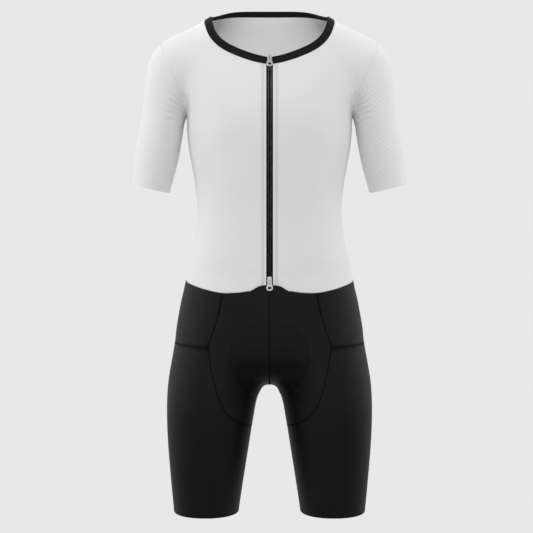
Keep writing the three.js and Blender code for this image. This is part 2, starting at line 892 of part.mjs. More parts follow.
// Neck binding: a strip from one side of the zip round the neck to the other
const neckLoop = chain(
  lines.neckFront,
  lines.neckBack,
  reversed(lines.neckBack).map(mirrorPoint),
  reversed(lines.neckFront).map(mirrorPoint),
);
const bandWidth = (p) => (
  THREE.MathUtils.lerp(BAND_WIDTH.front, BAND_WIDTH.back, smoothStep(-40, 20, p.y))
);
const bandRows = [neckLoop];
const bandFaces = [neckLoop.map((p) => outward(p, "body").normalize())];
for (let j = 1; j <= STEPS.band; j += 1) {
  const below = bandRows[0];
  const above = below.map((p, i) => {
    const ahead = below[Math.min(i + 1, below.length - 1)];
    const along = ahead.clone().sub(below[Math.max(i - 1, 0)]).normalize();
    const up = new THREE.Vector3().crossVectors(bandFaces[0][i], along).normalize();
    if (i === 0 || i === below.length - 1) up.set(0, 0.3, 1).normalize();
    return settle(p.clone().addScaledVector(up, bandWidth(neckLoop[i]) / STEPS.band), "body");
  });
  above[0].x = ZIP_OPENING;
  above[above.length - 1].x = -ZIP_OPENING;
  bandRows.unshift(above);
  bandFaces.unshift(above.map((p) => outward(p, "body").normalize()));
}
add("neckband", wall(drawBack(bandRows, ["bottom"]), bandFaces, WALL / 2 + BAND_PROUD, -WALL / 2), "band");

// Zip: two tapes under the fronts' edges and the closed chain between them
function zipStrip(left, right, columns) {
  const grid = [];
  for (let j = 0; j <= STEPS.zip; j += 1) {
    const z = THREE.MathUtils.lerp(ZIP_TOP, ZIP_END, j / STEPS.zip);
    const row = [];
    for (let i = 0; i <= columns; i += 1) {
      const x = THREE.MathUtils.lerp(left, right, i / columns);
      row.push(leave(new THREE.Vector3(x, 0, z), WAYS.front, "body"));
    }
    grid.push(row);
  }
  return grid;
}
const tape = zipStrip(CHAIN_HALF + SEAM_GAP, TAPE_HALF, 2);
const tapeTop = -WALL / 2 - TAPE_GAP;
addPair("zip_tape", tape, faces(tape, "body"), "tape", tapeTop, tapeTop - TAPE_THICK);
const teeth = zipStrip(-CHAIN_HALF, CHAIN_HALF, 2);
add("zip_chain", wall(teeth, faces(teeth, "body"), CHAIN_FRONT, CHAIN_FRONT - CHAIN_THICK), "tape");

// Sliders and pull tabs
// In a slider's own frame x runs across the zip, y up along it, and z out from the cloth.
function sliderSolid() {
  const { top, bottom, half, thick, edge, shoulder, foot, taper, strap } = SLIDER;
  const { bridgeReach, bridgeWidth, bridgeRise, bridgeCorner } = SLIDER;
  const outline = (inset) => CrossSection.hull([-1, 1].flatMap((side) => [
    CrossSection.circle(shoulder - inset).translate([side * (half - taper - shoulder), top - shoulder]),
    CrossSection.circle(foot - inset).translate([side * (half - foot), bottom + foot]),
  ]));
  const body = Manifold.hull([
    outline(0).extrude(thick - edge),
    outline(edge).extrude(thick),
  ]);
  const archOf = (reach, rise, corner) => CrossSection.hull([
    CrossSection.square([2 * reach, JOIN], true),
    ...[-1, 1].map((side) => (
      CrossSection.circle(corner).translate([side * (reach - 1.4 * corner), rise - corner])
    )),
  ]);
  const bridge = archOf(bridgeReach, bridgeRise, bridgeCorner)
    .subtract(archOf(bridgeReach - strap, bridgeRise - strap, bridgeCorner / 2))
    .extrude(bridgeWidth)
    .translate([0, 0, -bridgeWidth / 2])
    .rotate([90, 0, 90])
    .translate([0, 0, thick - JOIN / 2]);
  return body.add(bridge);
}

function oval({ wide, tall }, height) {
  return CrossSection.hull([
    CrossSection.circle(tall).translate([wide - tall, height]),
    CrossSection.circle(tall).translate([tall - wide, height]),
  ]);
}

function pullSolid() {
  const { armHalf, armInner, armOuter, eye, eyeDown, reach, thick, bar } = PULL;
  const level = SLIDER.thick + PIVOT_RISE;
  const ringHeight = PULL.ring.tall - reach;
  const ring = CrossSection.hull([
    oval(PULL.ring, ringHeight),
    CrossSection.square([2 * armOuter, 1], true).translate([0, -armHalf - 0.5]),
  ])
    .subtract(oval(PULL.hole, ringHeight))
    .subtract(CrossSection.circle(eye).translate([0, -eyeDown]));
  const plate = ring.extrude(thick).translate([0, 0, -thick / 2]);
  const arm = CrossSection.hull([
    CrossSection.circle(thick / 2),
    CrossSection.square([1, thick], true).translate([-armHalf - 0.4, 0]),
  ])
    .extrude(armOuter - armInner)
    .rotate([90, 0, 90]);
  const crossbar = Manifold.cylinder(2 * armOuter, bar, bar, 16, true).rotate([0, 90, 0]);
  return plate
    .add(arm.translate([armInner, 0, 0]))
    .add(arm.translate([-armOuter, 0, 0]))
    .add(crossbar)
    .translate([0, 0, level]);
}

function place(solid, z) {
  const foot = leave(new THREE.Vector3(0, 0, z), WAYS.front, "body");
  const out = outward(foot, "body").normalize();
  const up = new THREE.Vector3(0, 0, 1).addScaledVector(out, -out.z).normalize();
  const across = new THREE.Vector3().crossVectors(up, out);
  foot.addScaledVector(out, CHAIN_FRONT + SEAM_GAP);
  const frame = new THREE.Matrix4().makeBasis(across, up, out).setPosition(foot);
  const pivot = foot.clone().addScaledVector(out, SLIDER.thick + PIVOT_RISE);
  return { geometry: solidGeometry(solid).applyMatrix4(frame), pivot };
}

suit.userData.pivots = {};
for (const [name, z] of Object.entries(SLIDER_HEIGHTS)) {
  add(`${name}_slider`, place(sliderSolid(), z).geometry, "metal", true);
  const pull = place(pullSolid(), z);
  add(`${name}_pull`, pull.geometry, "metal", true);
  suit.userData.pivots[name] = pull.pivot.toArray();
}

export default suit;
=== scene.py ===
"""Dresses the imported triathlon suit: cloth shells with creases, binding, zip, seams and a plain studio."""

import math

import bmesh
import bpy
import numpy as np
from mathutils import Matrix, Vector


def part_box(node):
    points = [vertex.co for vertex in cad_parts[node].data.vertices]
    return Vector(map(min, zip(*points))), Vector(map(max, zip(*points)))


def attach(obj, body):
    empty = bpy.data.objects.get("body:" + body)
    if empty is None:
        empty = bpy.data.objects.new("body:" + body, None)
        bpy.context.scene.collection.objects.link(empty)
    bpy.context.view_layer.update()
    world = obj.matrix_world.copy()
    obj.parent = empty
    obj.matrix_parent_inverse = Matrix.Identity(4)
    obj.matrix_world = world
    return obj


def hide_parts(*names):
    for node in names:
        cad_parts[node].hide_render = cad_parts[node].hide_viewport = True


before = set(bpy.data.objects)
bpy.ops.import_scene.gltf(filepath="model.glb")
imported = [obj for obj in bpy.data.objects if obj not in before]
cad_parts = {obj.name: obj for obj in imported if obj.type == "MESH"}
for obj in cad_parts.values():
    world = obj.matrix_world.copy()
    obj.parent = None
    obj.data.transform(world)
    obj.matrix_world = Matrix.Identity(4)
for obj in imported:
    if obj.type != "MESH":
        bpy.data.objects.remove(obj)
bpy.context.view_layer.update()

bl_info = {
    "name": "Triathlon suit",
    "version": (1, 0, 0),
    "blender": (4, 5, 0),
    "location": "3D View > Sidebar > Suit",
    "description": "Builds the looks of a one-piece triathlon suit round its frame",
    "category": "Object",
}

MM = 0.001

# Each panel: its cut as (width, length) in metres, its slot and its finish
PANELS = {
    "front_left": {"cut": (0.265, 0.545), "slot": "white_cloth", "finish": "front_knit"},
    "front_right": {"cut": (0.265, 0.545), "slot": "white_cloth", "finish": "front_knit"},
    "back": {"cut": (0.470, 0.545), "slot": "white_cloth", "finish": "white_knit"},
    "sleeve_left": {"cut": (0.330, 0.290), "slot": "white_cloth", "finish": "ribbed_knit"},
    "sleeve_right": {"cut": (0.330, 0.290), "slot": "white_cloth", "finish": "ribbed_knit"},
    "rise_front_left": {"cut": (0.130, 0.290), "slot": "black_cloth", "finish": "black_knit"},
    "rise_front_right": {"cut": (0.130, 0.290), "slot": "black_cloth", "finish": "black_knit"},
    "rise_back_left": {"cut": (0.130, 0.310), "slot": "black_cloth", "finish": "black_knit"},
    "rise_back_right": {"cut": (0.130, 0.310), "slot": "black_cloth", "finish": "black_knit"},
    "hip_left": {"cut": (0.290, 0.135), "slot": "black_cloth", "finish": "black_knit"},
    "hip_right": {"cut": (0.290, 0.135), "slot": "black_cloth", "finish": "black_knit"},
    "leg_left": {"cut": (0.540, 0.330), "slot": "black_cloth", "finish": "black_knit"},
    "leg_right": {"cut": (0.540, 0.330), "slot": "black_cloth", "finish": "black_knit"},
}

# In millimetres: a wall's edge strips are narrower than the first, and the second closes the seams' gaps
EDGE_STRIP = 2.4
SEAM_GAP = 1.3

# Creases of the wearer's left half, mirrored to the right: two ends of each in millimetres (x, z), the side
# of the suit it is on, then its width and its depth in millimetres. A trough's depth is positive.
CREASES = [
    # armpit gathers, fanning out over the sleeve and the chest
    {"ends": ((158, -140), (165, -118)), "side": "front", "width": 2.0, "depth": 1.9},
    {"ends": ((160, -144), (173, -121)), "side": "front", "width": 2.0, "depth": 2.5},
    {"ends": ((161, -149), (179, -129)), "side": "front", "width": 2.1, "depth": 2.8},
    {"ends": ((162, -155), (184, -138)), "side": "front", "width": 2.2, "depth": 2.8},
    {"ends": ((163, -161), (187, -149)), "side": "front", "width": 2.3, "depth": 2.5},
    {"ends": ((164, -168), (190, -160)), "side": "front", "width": 2.6, "depth": 1.9},
    {"ends": ((165, -178), (192, -173)), "side": "front", "width": 3.2, "depth": 1.0},
    {"ends": ((156, -144), (149, -124)), "side": "front", "width": 3.0, "depth": 0.8},
    {"ends": ((155, -152), (140, -136)), "side": "front", "width": 3.2, "depth": 0.8},
    {"ends": ((153, -162), (132, -152)), "side": "front", "width": 3.6, "depth": 0.6},
    {"ends": ((160, -144), (186, -108)), "side": "back", "width": 3.4, "depth": 1.8},
    {"ends": ((162, -154), (198, -128)), "side": "back", "width": 3.2, "depth": 1.7},
    {"ends": ((163, -167), (204, -150)), "side": "back", "width": 3.6, "depth": 1.4},
    {"ends": ((156, -142), (132, -108)), "side": "back", "width": 4.4, "depth": 1.6},
    {"ends": ((154, -156), (120, -136)), "side": "back", "width": 4.6, "depth": 1.3},
    {"ends": ((153, -170), (114, -162)), "side": "back", "width": 5.2, "depth": 0.9},
    # soft drags under the chest and over the waist
    {"ends": ((42, -256), (108, -226)), "side": "front", "width": 42.0, "depth": 3.2},
    {"ends": ((20, -196), (52, -222)), "side": "front", "width": 15.0, "depth": 0.6},
    {"ends": ((128, -250), (96, -330)), "side": "front", "width": 14.0, "depth": 0.9},
    {"ends": ((34, -372), (120, -352)), "side": "front", "width": 12.0, "depth": 0.5},
    {"ends": ((52, -474), (132, -458)), "side": "front", "width": 20.0, "depth": 1.9},
    {"ends": ((18, -462), (44, -476)), "side": "front", "width": 7.0, "depth": 0.7},
    {"ends": ((0, -330), (105, -318)), "side": "back", "width": 10.0, "depth": 1.2},
    {"ends": ((0, -352), (118, -362)), "side": "back", "width": 9.0, "depth": 1.4},
    {"ends": ((0, -392), (96, -384)), "side": "back", "width": 11.0, "depth": 0.9},
    {"ends": ((0, -60), (0, -300)), "side": "back", "width": 12.0, "depth": 1.2},
    # crotch and thigh
    {"ends": ((6, -622), (58, -606)), "side": "front", "width": 8.0, "depth": 0.9},
    {"ends": ((12, -640), (66, -634)), "side": "front", "width": 7.0, "depth": 1.1},
    {"ends": ((20, -660), (60, -676)), "side": "front", "width": 7.0, "depth": 1.0},
    {"ends": ((34, -692), (70, -716)), "side": "front", "width": 8.0, "depth": 0.6},
    {"ends": ((12, -648), (104, -624)), "side": "back", "width": 7.0, "depth": -1.5},
    {"ends": ((18, -668), (96, -656)), "side": "back", "width": 6.5, "depth": -1.2},
    {"ends": ((30, -694), (84, -706)), "side": "back", "width": 7.0, "depth": -0.8},
    {"ends": ((158, -560), (140, -590)), "side": "front", "width": 9.0, "depth": 0.6},
    {"ends": ((88, -800), (150, -782)), "side": "back", "width": 9.0, "depth": 0.7},
]

# Every crease's shape, in shares of its length or width: how it bows, how it thins towards its ends and fades
# beyond them, and the low ridge on each side of it
CREASE_SHAPE = {
    "bow": 0.06,
    "turn": 1.3 * math.pi,
    "taper": 0.55,
    "fade": 0.9,
    "ridge": 0.35,
    "ridge_place": 1.7,
}

# Where the creases are fine: a box in millimetres (x from the middle, then z), and how often its net is cut
FINE = [
    {"x": (112, 222), "z": (-212, -92), "cuts": 2},
    {"x": (0, 115), "z": (-735, -540), "cuts": 1},
]

# The tape's tint on the cloth along the zip: distance from the middle in millimetres, and brightness there
ZIP_TINT = [(6.0, 1.05), (8.2, 1.05), (9.8, 0.86), (14.5, 0.87), (17.0, 1.0)]
ZIP_TINT_REACH = 20

# How far each kind of seam draws the cloth in, in millimetres, and how light the black cloth is along it
SEAM_DRAW = {"white": 0.05, "black": 0.25}
SEAM_SHADE = {"middle": 0.8, "side": 0.45}

# How far a stitch reaches to each side of its seam, in millimetres
STITCH_REACH = 1.3

# The pad inside: its outline showing through the front, as (x, z) in millimetres from the middle outwards,
# the heights between which it shows, and how far it lifts the cloth and draws it in along its edge
PAD_OUTLINE = [(0, -552), (22, -554), (42, -562), (58, -578), (70, -600), (74, -625), (62, -655), (34, -690)]
PAD_SHOWS = (-690, -540)
PAD_RISE = {"height": 0.9, "fade": 1.8}
PAD_GROOVE = {"depth": 0.35, "width": 2.2}

# Over the pad no crease goes deeper than this, so the pad stays under the cloth
OVER_PAD = {"x": 84, "z": (-712, -540), "deepest": 0.35}

# How much darker the black cloth is, and where, in millimetres: along the pad's edge and inside it, then
# painted shade round the crotch and painted shade down the thighs
PAD_SHADE = {"edge": 0.16, "width": 2.5, "inside": 0.1, "fade": 2}
# Painted shade: the front of the crotch is darkened, standing in for the shade between the legs
CROTCH_PAINTED_SHADE = {"dark": 0.45, "x": 70, "z": (-705, -622), "fade": 8, "fade_below": 9}
# Painted shade: the thighs darken towards the bottom, standing in for the light falling off down the legs
THIGH_PAINTED_SHADE = {"dark": 0.28, "top": -715, "fade": 14}

# A zip tooth's width, depth and height, its rounding and its distance from the middle, then how clear the
# teeth are of the zip's ends and of the sliders, all in millimetres
TOOTH = {"size": (2.9, 0.9, 1.15), "round": 0.25, "side": 0.95}
ZIP_END_CLEAR = 1
SLIDER_CLEAR = 0.5

# Studio light: where each lamp stands in metres, its width and height, and its power in watts
LIT = (0, 0, -0.35)
GLOW = 0.67
LAMPS = {
    "key": {"place": (-0.4, -2.6, 1.2), "size": (2.4, 1.6), "power": 3},
    "fill": {"place": (0.0, -3.4, -0.45), "size": (1.6, 1.6), "power": 7.5},
    "side_left": {"place": (-2.3, -0.7, 0.3), "size": (1.0, 2.2), "power": 16},
    "side_right": {"place": (2.3, -0.7, 0.3), "size": (1.0, 2.2), "power": 10},
    "top": {"place": (0.0, -0.3, 2.2), "size": (1.6, 1.2), "power": 18},
    "back": {"place": (0.0, 2.6, 1.2), "size": (2.4, 1.6), "power": 13},
    "rim_left": {"place": (-2.0, 0.9, 0.1), "size": (0.8, 2.2), "power": 7},
    "rim_right": {"place": (2.0, 0.9, 0.1), "size": (0.8, 2.2), "power": 7},
}

# A narrow lamp over the front of the collar, that lights the inside of the back
COLLAR_LAMP = {"place": (0, -0.86, 0.62), "aim": (0, 0.06, 0.1), "power": 46, "angle": math.radians(20)}

# The floor, in metres
FLOOR = {"radius": 1.7, "height": -1.38, "segments": 96, "grey": 0.62}


class SuitCloth(bpy.types.PropertyGroup):
    """Sizes and colours of the cloth."""

    thickness: bpy.props.FloatProperty(
        name="Thickness",
        description="How thick the knit is",
        default=1.2 * MM,
        min=0.4 * MM,
        max=3 * MM,
        unit="LENGTH",
    )
    levels: bpy.props.IntProperty(
        name="Smoothness", description="How often the cloth's net is halved", default=2, min=1, max=3
    )
    white: bpy.props.FloatVectorProperty(
        name="White",
        description="Colour of the body and sleeves",
        subtype="COLOR",
        size=3,
        default=(0.745, 0.746, 0.752),
        min=0,
        max=1,
    )
    black: bpy.props.FloatVectorProperty(
        name="Black",
        description="Colour of the shorts",
        subtype="COLOR",
        size=3,
        default=(0.0026, 0.0027, 0.003),
        min=0,
        max=1,
    )
    rib_pitch: bpy.props.FloatProperty(
        name="Rib pitch",
        description="Distance between the fine slanting ribs of the sleeves",
        default=7 * MM,
        min=1 * MM,
        max=20 * MM,
        unit="LENGTH",
    )


class SuitTrim(bpy.types.PropertyGroup):
    """Sizes and colours of the binding, zip and sewing."""

    tooth_pitch: bpy.props.FloatProperty(
        name="Tooth pitch",
        description="Distance between two teeth on one side of the zip",
        default=2.6 * MM,
        min=1 * MM,
        max=6 * MM,
        unit="LENGTH",
    )
    thread: bpy.props.FloatProperty(
        name="Thread",
        description="Thickness of the sewing thread",
        default=0.35 * MM,
        min=0.1 * MM,
        max=1 * MM,
        unit="LENGTH",
    )
    binding: bpy.props.FloatVectorProperty(
        name="Binding",
        description="Colour of the neck binding",
        subtype="COLOR",
        size=3,
        default=(0.004, 0.004, 0.0044),
        min=0,
        max=1,
    )
    metal: bpy.props.FloatVectorProperty(
        name="Metal",
        description="Colour of the sliders and pull tabs",
        subtype="COLOR",
        size=3,
        default=(0.5, 0.505, 0.515),
        min=0,
        max=1,
    )


class SuitStage(bpy.types.PropertyGroup):
    """Camera, light and floor."""

    distance: bpy.props.FloatProperty(
        name="Distance",
        description="From the camera to the suit's middle",
        default=3.2,
        min=1,
        max=20,
        unit="LENGTH",
    )
    field: bpy.props.FloatProperty(
        name="Field",
        description="Width of the picture at the suit's middle",
        default=1.0127,
        min=0.2,
        max=5,
        unit="LENGTH",
    )
    height: bpy.props.FloatProperty(
        name="Height",
        description="Height of the camera above the shoulders",
        default=-0.4494,
        min=-3,
        max=3,
        unit="LENGTH",
    )
    side: bpy.props.FloatProperty(
        name="Side",
        description="How far the camera stands to the wearer's left of the suit's middle",
        default=-0.0057,
        min=-1,
        max=1,
        unit="LENGTH",
    )
    grey: bpy.props.FloatProperty(
        name="Backdrop", description="How light the backdrop is", default=0.806, min=0, max=1
    )


def link(obj):
    bpy.context.scene.collection.objects.link(obj)
    return obj


def new_object(name, bm, smooth=True):
    mesh = bpy.data.meshes.new(name)
    bm.to_mesh(mesh)
    bm.free()
    if smooth:
        mesh.polygons.foreach_set("use_smooth", [True] * len(mesh.polygons))
    return link(bpy.data.objects.new(name, mesh))


def merged_copy(node):
    """A bmesh of a frame node's mesh with its loose triangles joined."""
    bm = bmesh.new()
    bm.from_mesh(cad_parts[node].data)
    bmesh.ops.remove_doubles(bm, verts=bm.verts, dist=0.01 * MM)
    return bm


def islands(bm):
    """Groups of faces joined by their edges."""
    left = set(bm.faces)
    found = []
    while left:
        todo = [left.pop()]
        group = list(todo)
        while todo:
            for edge in todo.pop().edges:
                for face in edge.link_faces:
                    if face in left:
                        left.remove(face)
                        todo.append(face)
                        group.append(face)
        found.append(group)
    return found


def bulge(faces):
    """How far a group of faces looks away from its own middle."""
    area = sum(f.calc_area() for f in faces)
    middle = sum((f.calc_center_median() * f.calc_area() for f in faces), Vector()) / area
    return sum(f.normal.dot(f.calc_center_median() - middle) * f.calc_area() for f in faces)


def outer_skin(node, rim):
    """The outer side of a cloth wall. The wall's edge strips are narrower than rim."""
    bm = merged_copy(node)
    edge_strips = [f for f in bm.faces if min(e.calc_length() for e in f.edges) < rim]
    bmesh.ops.delete(bm, geom=edge_strips, context="FACES")
    groups = sorted(islands(bm), key=bulge, reverse=True)
    bmesh.ops.delete(bm, geom=[f for group in groups[1:] for f in group], context="FACES")
    bmesh.ops.join_triangles(
        bm, faces=bm.faces, angle_face_threshold=math.pi, angle_shape_threshold=math.pi
    )
    return bm


def welded_cloth(levels):
    """All the panels' outer skins as one smooth mesh, each panel with a material index of its own."""
    whole = bmesh.new()
    for index, name in enumerate(PANELS):
        skin = outer_skin(name, rim=EDGE_STRIP * MM)
        for face in skin.faces:
            face.material_index = index
        part = bpy.data.meshes.new(name)
        skin.to_mesh(part)
        skin.free()
        whole.from_mesh(part)
    bmesh.ops.remove_doubles(whole, verts=whole.verts, dist=SEAM_GAP * MM)
    obj = new_object("cloth_net", whole)
    for _ in PANELS:
        obj.data.materials.append(None)
    smooth = obj.modifiers.new("smooth", "SUBSURF")
    smooth.levels = smooth.render_levels = levels
    smooth.boundary_smooth = "PRESERVE_CORNERS"
    bpy.context.view_layer.update()
    fine = bpy.data.meshes.new_from_object(obj.evaluated_get(bpy.context.evaluated_depsgraph_get()))
    bpy.data.objects.remove(obj)
    return fine


def soft(distance, width):
    """A smooth bump: 1 where distance is nothing, and low beyond width."""
    return np.exp(-((distance / width) ** 2))


def step(distance, fade):
    """A smooth step from 0 to 1, half way up where distance is nothing."""
    return 1 / (1 + np.exp(-distance / fade))


def crease_depth(places):
    """How far each point is pressed in, from the table of creases, on both halves. Millimetres."""
    x, y, z = np.abs(places[:, 0]), places[:, 1], places[:, 2]
    shape = CREASE_SHAPE
    depth = np.zeros(len(places))
    for crease in CREASES:
        (ax, az), (bx, bz) = crease["ends"]
        length = math.hypot(bx - ax, bz - az)
        along = ((x - ax) * (bx - ax) + (z - az) * (bz - az)) / length**2
        between = np.clip(along, 0, 1)
        bend = shape["bow"] * length * np.sin(between * shape["turn"])
        across = ((x - ax) * (bz - az) - (z - az) * (bx - ax)) / length + bend
        beyond = np.maximum(0, np.maximum(-along, along - 1)) * length
        taper = 1 - shape["taper"] + shape["taper"] * np.sin(between * math.pi)
        facing = y < 0 if crease["side"] == "front" else y >= 0
        width = crease["width"]
        ridges = shape["ridge"] * soft(np.abs(across) - shape["ridge_place"] * width, width)
        valley = soft(across, width) - ridges
        depth += crease["depth"] * valley * taper * soft(beyond, shape["fade"] * width) * facing
    return depth


def pad_depth(places):
    """How far each point is inside the pad's outline, seen from the front. Millimetres."""
    x, z = np.abs(places[:, 0]), places[:, 2]
    outline = np.array(PAD_OUTLINE, float)
    far = np.full(len(places), 1e9)
    for a, b in zip(outline, outline[1:]):
        run = b - a
        t = np.clip(((x - a[0]) * run[0] + (z - a[1]) * run[1]) / run.dot(run), 0, 1)
        far = np.minimum(far, np.hypot(x - a[0] - t * run[0], z - a[1] - t * run[1]))
    reach = np.interp(-z, -outline[:, 1], outline[:, 0])
    return np.where((x < reach) & (z < outline[0, 1]), far, -far)


def pad_shows(places):
    """Which points are on the front, between the heights where the pad shows."""
    low, high = PAD_SHOWS
    return (places[:, 1] < 0) * (places[:, 2] > low) * (places[:, 2] < high)


def pad_rise(places):
    """How far the pad inside lifts the cloth. Millimetres."""
    inside = pad_depth(places)
    lift = PAD_RISE["height"] * step(inside, PAD_RISE["fade"])
    return (lift - PAD_GROOVE["depth"] * soft(inside, PAD_GROOVE["width"])) * pad_shows(places)


def refined(mesh):
    """Cuts the cloth's net finer where its creases are small."""
    bm = bmesh.new()
    bm.from_mesh(mesh)
    for region in FINE:
        (x0, x1), (z0, z1) = region["x"], region["z"]
        edges = [
            e
            for e in bm.edges
            if all(x0 < abs(v.co.x) / MM < x1 and z0 < v.co.z / MM < z1 for v in e.verts)
        ]
        bmesh.ops.subdivide_edges(bm, edges=edges, cuts=region["cuts"], use_grid_fill=True)
    bm.to_mesh(mesh)
    bm.free()


def shade(places):
    """How light the black cloth is: darker at the pad, and painted shade at the crotch and thighs."""
    x, y, z = np.abs(places[:, 0]), places[:, 1], places[:, 2]
    inside = pad_depth(places)
    edge = PAD_SHADE["edge"] * soft(inside, PAD_SHADE["width"])
    pad = (edge + PAD_SHADE["inside"] * step(inside, PAD_SHADE["fade"])) * pad_shows(places)
    # painted shade round the front of the crotch
    (low, high), fade = CROTCH_PAINTED_SHADE["z"], CROTCH_PAINTED_SHADE["fade"]
    upper = step(CROTCH_PAINTED_SHADE["x"] - x, fade) * step(high - z, fade)
    crotch = CROTCH_PAINTED_SHADE["dark"] * upper * step(z - low, CROTCH_PAINTED_SHADE["fade_below"]) * (y < 0)
    # painted shade down the thighs
    thigh = THIGH_PAINTED_SHADE["dark"] * step(THIGH_PAINTED_SHADE["top"] - z, THIGH_PAINTED_SHADE["fade"])
    return (1 - pad - crotch) * (1 - thigh)


def creased(mesh):
    """Moves the cloth's points along their normals by creases and pad; stores its tone and painted shade."""
    count = len(mesh.vertices)
    places = np.zeros(count * 3)
    normals = np.zeros(count * 3)
    mesh.vertices.foreach_get("co", places)
    mesh.vertex_normals.foreach_get("vector", normals)
    places = places.reshape(-1, 3)
    normals = normals.reshape(-1, 3)
    mesh.attributes.new("shade", "FLOAT", "POINT").data.foreach_set("value", shade(places / MM))
    move = pad_rise(places / MM) - crease_depth(places / MM)
    x, z = np.abs(places[:, 0]) / MM, places[:, 2] / MM
    over_pad = (x < OVER_PAD["x"]) & (z > OVER_PAD["z"][0]) & (z < OVER_PAD["z"][1])
    move = np.where(over_pad, np.maximum(move, -OVER_PAD["deepest"]), move) * MM
    places = places + normals * move[:, None]
    mesh.vertices.foreach_set("co", places.ravel())
    mesh.update()


# Materials. A knit is its noise's scale and its bump's strength. A colour is a value, or names a setting.

WHITE_SURFACE = {"roughness": 0.75, "sheen": 0.4, "shine": 0.25}
FINISHES = {
    "white_knit": {"colour": "white", "surface": WHITE_SURFACE, "knit": (1400, 0.25)},
    "front_knit": {"colour": "white", "surface": WHITE_SURFACE, "knit": (1400, 0.25)},
    "ribbed_knit": {"colour": "white", "surface": WHITE_SURFACE, "knit": (1400, 0.2)},
    "black_knit": {
        "colour": "black",
        "surface": {"roughness": 0.55, "sheen": 0.01, "shine": 0.16},
        "knit": (1400, 0.3),
    },
    "bound_edge": {
        "colour": "binding",
        "surface": {"roughness": 0.75, "sheen": 0.03, "shine": 0.15},
        "knit": (2500, 0.4),
    },
    "pad_fleece": {
        "colour": (0.02, 0.021, 0.024),
        "surface": {"roughness": 0.9, "sheen": 0.2, "shine": 0.2},
        "knit": (900, 0.5),
    },
    "woven_tape": {
        "colour": (0.004, 0.004, 0.0043),
        "surface": {"roughness": 0.8, "sheen": 0.02, "shine": 0.12},
        "knit": (3000, 0.5),
    },
    "moulded_teeth": {"colour": (0.004, 0.004, 0.0042), "surface": {"roughness": 0.45, "shine": 0.2}},
    "plated_metal": {"colour": "metal", "surface": {"roughness": 0.33, "metallic": 1.0}},
    "white_thread": {"colour": "thread", "surface": {"roughness": 0.8, "shine": 0.2}},
    "black_thread": {"colour": (0.001, 0.001, 0.0011), "surface": {"roughness": 0.9, "shine": 0.05}},
}
WHITE_THREAD = 0.9
SHEEN_ROUGHNESS = 0.45
KNIT_DEPTH = 0.3 * MM

# The sleeves' ribs: their slant, bump strength and depth, and how their phase drifts with a wide noise
RIBS = {"slant": 0.75, "strength": 0.24, "depth": 0.5 * MM, "drift": 5, "drift_scale": 90}


def material(name, colour, roughness, sheen=0.0, metallic=0.0, shine=0.5):
    made = bpy.data.materials.new(name)
    made.use_nodes = True
    shader = made.node_tree.nodes["Principled BSDF"]
    shader.inputs["Base Color"].default_value = (*colour, 1)
    shader.inputs["Roughness"].default_value = roughness
    shader.inputs["Metallic"].default_value = metallic
    shader.inputs["Specular IOR Level"].default_value = shine
    shader.inputs["Sheen Weight"].default_value = sheen
    shader.inputs["Sheen Roughness"].default_value = SHEEN_ROUGHNESS
    return made


def feed(made, name, result):
    """Links a node's result to one of the shader's sockets."""
    made.node_tree.links.new(result, made.node_tree.nodes["Principled BSDF"].inputs[name])


def maths(made, operation, *values):
    """Adds a math node, whose values are numbers or other nodes' results, and gives its result."""
    node = made.node_tree.nodes.new("ShaderNodeMath")
    node.operation = operation
    for socket, value in zip(node.inputs, values):
        if isinstance(value, bpy.types.NodeSocket):
            made.node_tree.links.new(value, socket)
        else:
            socket.default_value = value
    return node.outputs[0]


def object_place(made):
    return made.node_tree.nodes.new("ShaderNodeTexCoord").outputs["Object"]


def from_middle(made, place):
    """How far a place is from the suit's middle, and its height."""
    split = made.node_tree.nodes.new("ShaderNodeSeparateXYZ")
    made.node_tree.links.new(place, split.inputs["Vector"])
    return maths(made, "ABSOLUTE", split.outputs["X"]), split.outputs["Z"]


def noise(made, place, scale):
    node = made.node_tree.nodes.new("ShaderNodeTexNoise")
    node.inputs["Scale"].default_value = scale
    node.inputs["Detail"].default_value = 2
    made.node_tree.links.new(place, node.inputs["Vector"])
    return node.outputs["Fac"]


def bump(made, height, strength, depth, under=None):
    """Adds a bump, over another one where under is given."""
    node = made.node_tree.nodes.new("ShaderNodeBump")
    node.inputs["Strength"].default_value = strength
    node.inputs["Distance"].default_value = depth
    made.node_tree.links.new(height, node.inputs["Height"])
    if under:
        made.node_tree.links.new(under, node.inputs["Normal"])
    return node.outputs["Normal"]


def add_knit(made, scale, strength, pitch=None):
    """A fine knit, and where a pitch is given, slanting ribs that mirror about the suit's middle."""
    place = object_place(made)
    normal = bump(made, noise(made, place, scale), strength, KNIT_DEPTH)
    if pitch:
        side, height = from_middle(made, place)
        slanting = maths(made, "MULTIPLY_ADD", side, RIBS["slant"], height)
        phase = maths(made, "MULTIPLY", slanting, 2 * math.pi / (pitch * math.hypot(1, RIBS["slant"])))
        drifting = maths(made, "MULTIPLY_ADD", noise(made, place, RIBS["drift_scale"]), RIBS["drift"], phase)
        normal = bump(made, maths(made, "SINE", drifting), RIBS["strength"], RIBS["depth"], normal)
    feed(made, "Normal", normal)


def add_shade(made, colour, shine):
    """Scales a cloth's colour and shine by its stored tone, which holds painted shade at crotch and thighs.
    """
    stored = made.node_tree.nodes.new("ShaderNodeAttribute")
    stored.attribute_name = "shade"
    tone = made.node_tree.nodes.new("ShaderNodeVectorMath")
    tone.operation = "SCALE"
    tone.inputs[0].default_value = colour
    made.node_tree.links.new(stored.outputs["Fac"], tone.inputs["Scale"])
    feed(made, "Base Color", tone.outputs["Vector"])
    feed(made, "Specular IOR Level", maths(made, "MULTIPLY", stored.outputs["Fac"], shine))


